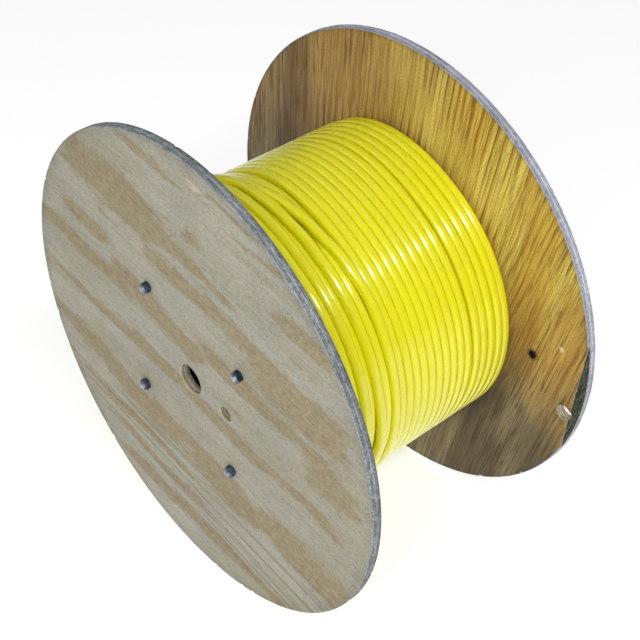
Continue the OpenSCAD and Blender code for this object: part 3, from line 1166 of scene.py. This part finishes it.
def make_flanges():
    outer_grey = rgb(178, 184, 188)
    inner_grey = rgb(98, 106, 108)
    near_materials = [
        weathered_ply(NEAR_GRAIN),
        weathered_ply(NEAR_GRAIN),
        ply_edge("near_rim", outer_grey, inner_grey, NEAR_GRAIN),
        ply_edge("bore_wall", rgb(226, 218, 190), rgb(166, 150, 116), NEAR_GRAIN),
        bared_ply(NEAR_GRAIN),
        splinter_wood(NEAR_GRAIN),
    ]
    splinter = blob(SPLINTER, NEAR_GRAIN, 1.5)

    def near_outer_row(x, z):
        return SPLINTER_ROW if inside(splinter, x, z) else LAST

    def groove_row(x, z):
        return GROOVE_ROW if GROOVE_IN < math.hypot(x, z) < GROOVE_OUT else 0

    near = build_flange(
        "near_flange_ply", -1, COMMON_HOLES,
        {OUTER: ([splinter], [], near_outer_row), INNER: (GROOVE_LOOPS, [], groove_row)},
        near_materials, near_marks, 2.0,
    )
    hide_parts("near_flange")

    far_materials = [
        weathered_ply(NEAR_GRAIN),
        honey_pine(FAR_GRAIN),
        ply_edge("far_rim", rgb(228, 232, 246), rgb(164, 168, 184), FAR_GRAIN),
        # Near-white walls: painted light, so that the holes' walls show pale despite the shade inside
        # them.
        ply_edge("bore_wall_far_lit", rgb(250, 240, 216), rgb(206, 188, 150), FAR_GRAIN),
        bared_ply(FAR_GRAIN),
        knot_wood(),
    ]
    knot = blob(KNOT, math.radians(60), 4.5, 24)
    chip = blob(CHIP, FAR_GRAIN, 7.5, 8)
    cuts = veneer_cut()
    edge_line = sorted(off_veneer(*q)[::-1] for line in cuts for q in line)

    def far_inner_row(x, z):
        if inside(knot, x, z):
            return KNOT_ROW
        out, along = off_veneer(x, z)
        if out > 280 and edge_line[0][0] < along < edge_line[-1][0]:
            for (a0, o0), (a1, o1) in zip(edge_line, edge_line[1:]):
                if a0 <= along <= a1:
                    share = (along - a0) / max(a1 - a0, 1e-9)
                    return VENEER_ROW if out > o0 + (o1 - o0) * share else 0
        return groove_row(x, z)

    far = build_flange(
        "far_flange_ply", 1, COMMON_HOLES + [END_HOLE],
        {OUTER: ([], [], lambda x, z: LAST),
         INNER: (GROOVE_LOOPS + [knot, chip], cuts, far_inner_row)},
        far_materials, far_marks, 6.0,
    )
    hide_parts("far_flange")


make_flanges()

# ---- drum, rods, nuts and staple ----------------------------------------------------

THREAD_PITCH = 1.25 * MM
THREAD_DEPTH = 0.62 * MM
THREAD_RUN = 26 * MM
THREAD_STEPS = 6                # rows of vertices in each pitch
ROD_CHAMFER = 1.1 * MM
ROD_SIDES = 32
NUT_FLATS = 13.0 * MM
NUT_BORE_R = 4.0 * MM
NUT_SIDES = 72
NUT_ROWS_MM = (0.0, 0.25, 0.55, 0.9, 1.3)   # rows of vertices from either face


def threaded_rod(node):
    """A tie rod that is threaded at both ends, with chamfered tips."""
    low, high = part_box(node)
    x, z = middle(node).x, middle(node).z
    radius = (high.x - low.x) / 2
    half = (high.y - low.y) / 2
    rows = int(THREAD_RUN / THREAD_PITCH * THREAD_STEPS)
    ends = [half - THREAD_PITCH * i / THREAD_STEPS for i in range(rows)]
    places = [(y, 1.0) for y in ends] + [(half - THREAD_RUN - THREAD_PITCH, 0.0)]
    places = [(-y, t) for y, t in places] + [(y, t) for y, t in places[::-1]]
    points = []
    for y, threaded in places:
        tip = half - abs(y)
        for s in range(ROD_SIDES):
            turn = 2 * math.pi * s / ROD_SIDES
            wave = abs(((y / THREAD_PITCH - turn / (2 * math.pi)) % 1.0) * 2 - 1)
            r = radius - THREAD_DEPTH * (wave if threaded else 0.35)
            r = min(r, radius - ROD_CHAMFER + tip)
            points.append((x + r * math.cos(turn), y, z + r * math.sin(turn)))
    faces = ring_faces(len(places), ROD_SIDES)
    rod = make_object(node + "_threaded", points, faces, [ZINC], sharp=60)
    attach(rod, "root")
    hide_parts(node)


def hex_nut(node, turned):
    """A hexagonal nut with turned-down corners on both faces."""
    low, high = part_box(node)
    x, z = middle(node).x, middle(node).z
    corner = NUT_FLATS / 2 / math.cos(math.radians(30))
    height = high.y - low.y
    sixth = math.radians(60)
    rows = [(d * MM, d * MM) for d in NUT_ROWS_MM]
    rows += [(height - d * MM, d * MM) for d in NUT_ROWS_MM[::-1]]
    mouth, chamfer = NUT_BORE_R + 0.7 * MM, 0.7 * MM
    bore = [(height, mouth), (height - chamfer, NUT_BORE_R), (chamfer, NUT_BORE_R), (0, mouth)]
    angles = [2 * math.pi * s / NUT_SIDES for s in range(NUT_SIDES)]
    points = []
    for y, inward in rows:
        cone = NUT_FLATS / 2 * 0.985 + inward / math.tan(math.radians(30))
        for a in angles:
            hexagon = NUT_FLATS / 2 / math.cos((a % sixth) - sixth / 2)
            r = min(hexagon, cone, corner - 0.12 * MM)
            points.append((x + r * math.cos(a + turned), low.y + y, z + r * math.sin(a + turned)))
    for y, r in bore:
        for a in angles:
            points.append((x + r * math.cos(a + turned), low.y + y, z + r * math.sin(a + turned)))
    total = len(rows) + len(bore)
    faces = ring_faces(total, NUT_SIDES, closed_ends=False)
    last = (total - 1) * NUT_SIDES
    for s in range(NUT_SIDES):
        t = (s + 1) % NUT_SIDES
        faces.append((last + s, last + t, t, s))
    nut = make_object(node + "_hex", points, faces, [DULL_ZINC])
    face_outwards(nut)
    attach(nut, "root")
    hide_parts(node)


def make_fixings():
    for i, rod in enumerate(RODS, 1):
        threaded_rod(rod)
        x, z = on_plane(middle(rod))
        about = math.atan2(z, x)
        hex_nut(f"near_nut_{i}", about + math.radians(17 * i))
        hex_nut(f"far_nut_{i}", about - math.radians(31 * i))


def dress(node, material):
    """Gives a CAD node that stays its own finish."""
    obj = frame["nodes"][node]
    obj.data.materials.clear()
    obj.data.materials.append(material)


make_fixings()
dress("drum", drum_fibre())
dress("end_staple", ZINC)

# ---- floor and light ----------------------------------------------------------------


def make_floor():
    half = 8.0
    corners = [(-half, -half, 0), (half, -half, 0), (half, half, 0), (-half, half, 0)]
    floor = make_object("floor", corners, [(0, 1, 2, 3)], [pale_floor()])


def area_light(name, azimuth, elevation, distance, length, width, power):
    """A soft light that faces the middle of the reel, its length as level with the axle as
    can be."""
    data = bpy.data.lights.new(name, "AREA")
    data.shape = "RECTANGLE"
    data.size = width
    data.size_y = length
    data.energy = power
    light = add_object(name, data)
    back = towards(azimuth, elevation)
    light.location = Vector((0, 0, AXLE_Z)) + back * distance
    along = (Vector((0, 1, 0)) - back * back.y).normalized()
    light.rotation_mode = "QUATERNION"
    light.rotation_quaternion = Matrix((along.cross(back), along, back)).transposed().to_quaternion()


def make_light():
    area_light("key", 58, 47, 2.0, 2.4, 0.16, 29)
    area_light("left_fill", -50, 40, 3.2, 2.2, 2.2, 11)
    area_light("back_fill", 175, 55, 3.5, 2.5, 2.5, 6)
    world = bpy.data.worlds.new("studio")
    world.use_nodes = True
    sky = world.node_tree.nodes["Background"]
    sky.inputs["Color"].default_value = (1.0, 1.0, 1.0, 1.0)
    sky.inputs["Strength"].default_value = 0.22
    bpy.context.scene.world = world
    bpy.context.scene.view_settings.view_transform = "Standard"


make_floor()
make_light()
